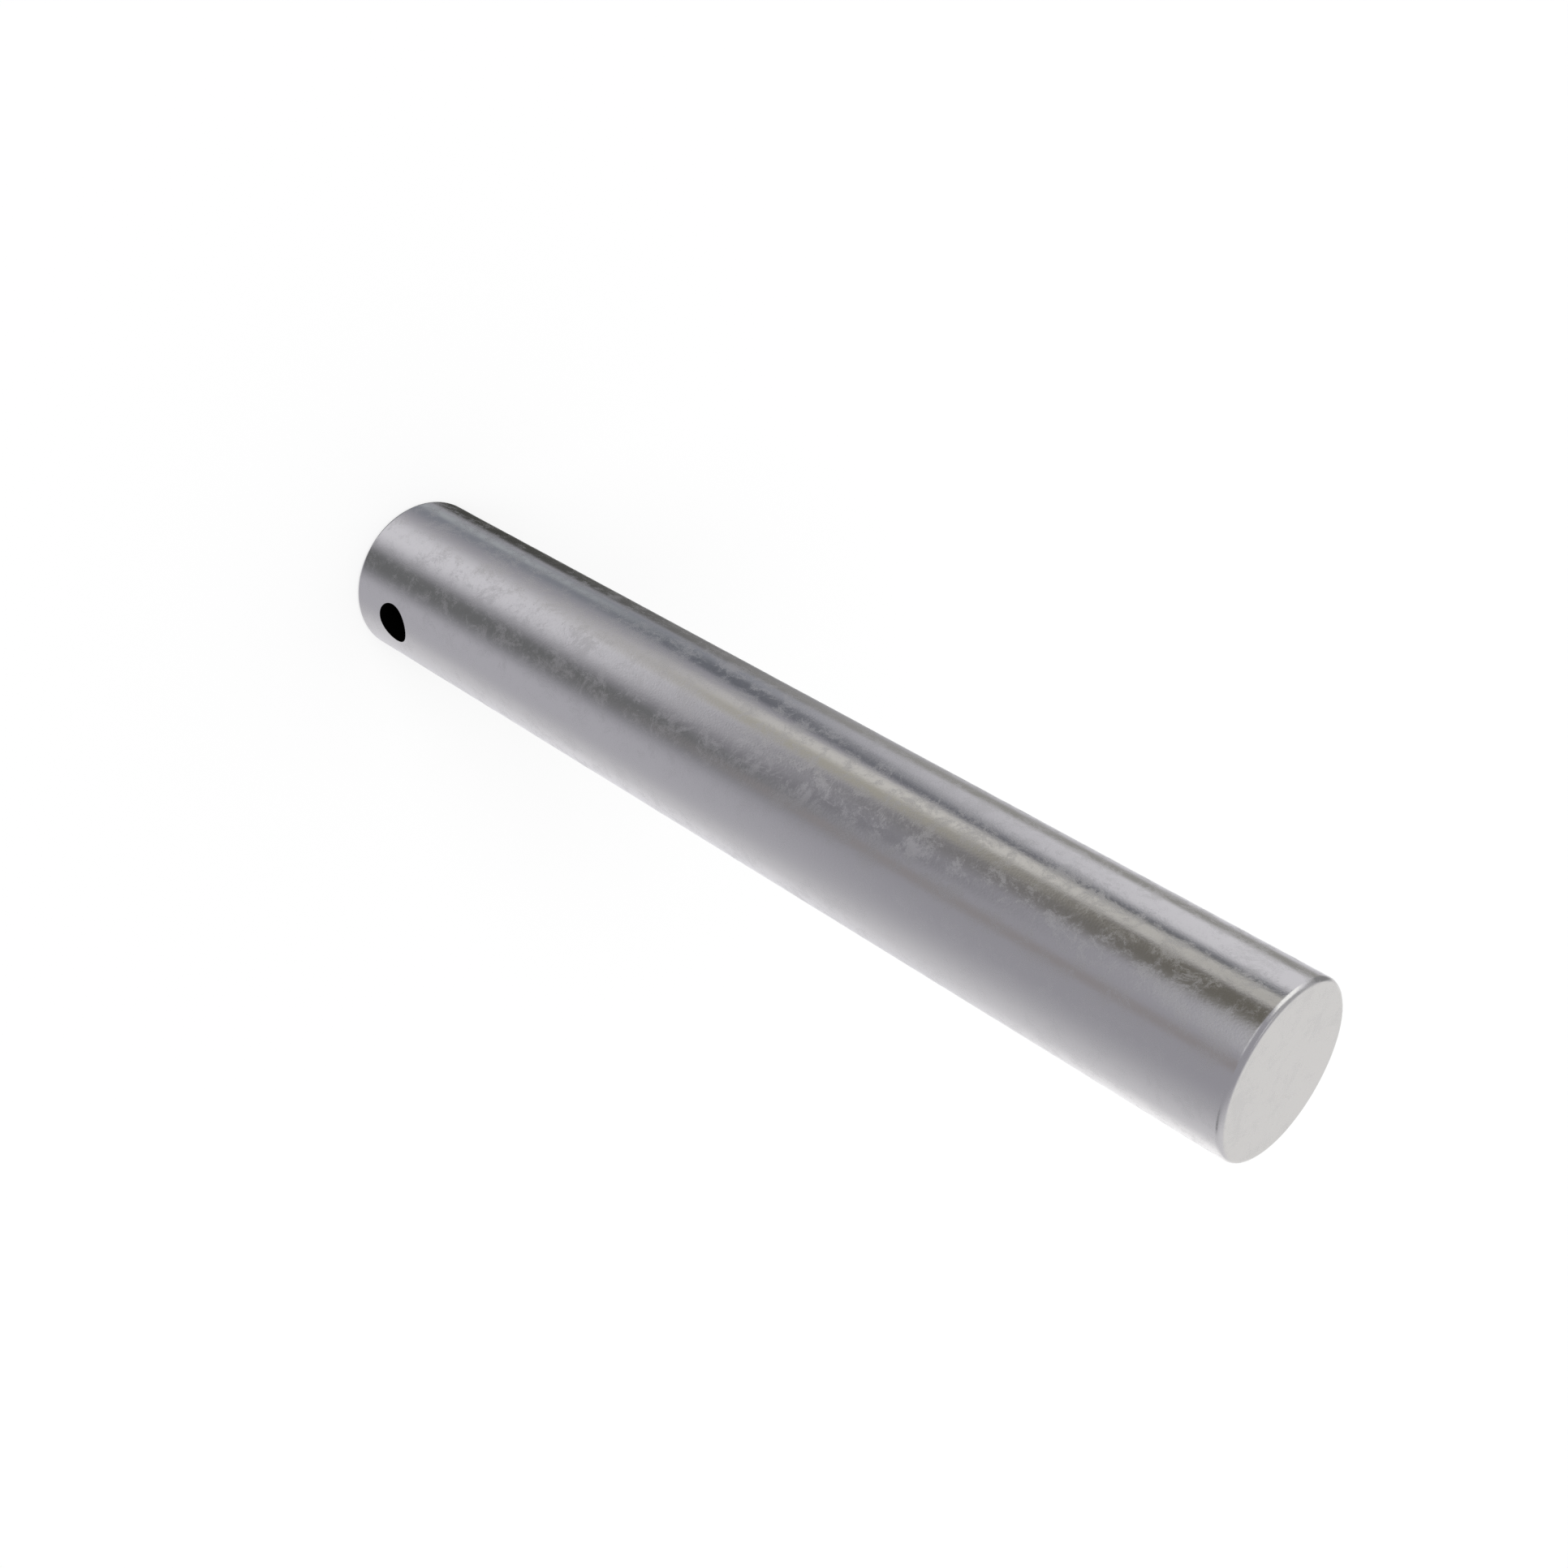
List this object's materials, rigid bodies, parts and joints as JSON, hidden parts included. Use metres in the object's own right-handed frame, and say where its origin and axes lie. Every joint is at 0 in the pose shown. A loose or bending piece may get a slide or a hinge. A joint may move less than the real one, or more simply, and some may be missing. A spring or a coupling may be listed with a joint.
{
  "type": "drilled pin",
  "caption": "Headless round steel pin with rounded end edges and a cross hole near an end for a split pin; used as a removable pivot or locking pin.",
  "frame": {"origin": "centre of the drilled end's flat face, on which the pin stands", "axes": "+Z along the pin's axis towards the plain end, +Y along the cross hole's axis, +X across both"},
  "size_m": [0.024, 0.024, 0.16],
  "materials": {
    "bright_steel": "bright drawn and polished, lightly stained, with a fine grain"
  },
  "bodies": {
    "root": {"drilled_pin": "bright_steel"}
  },
  "joints": []
}
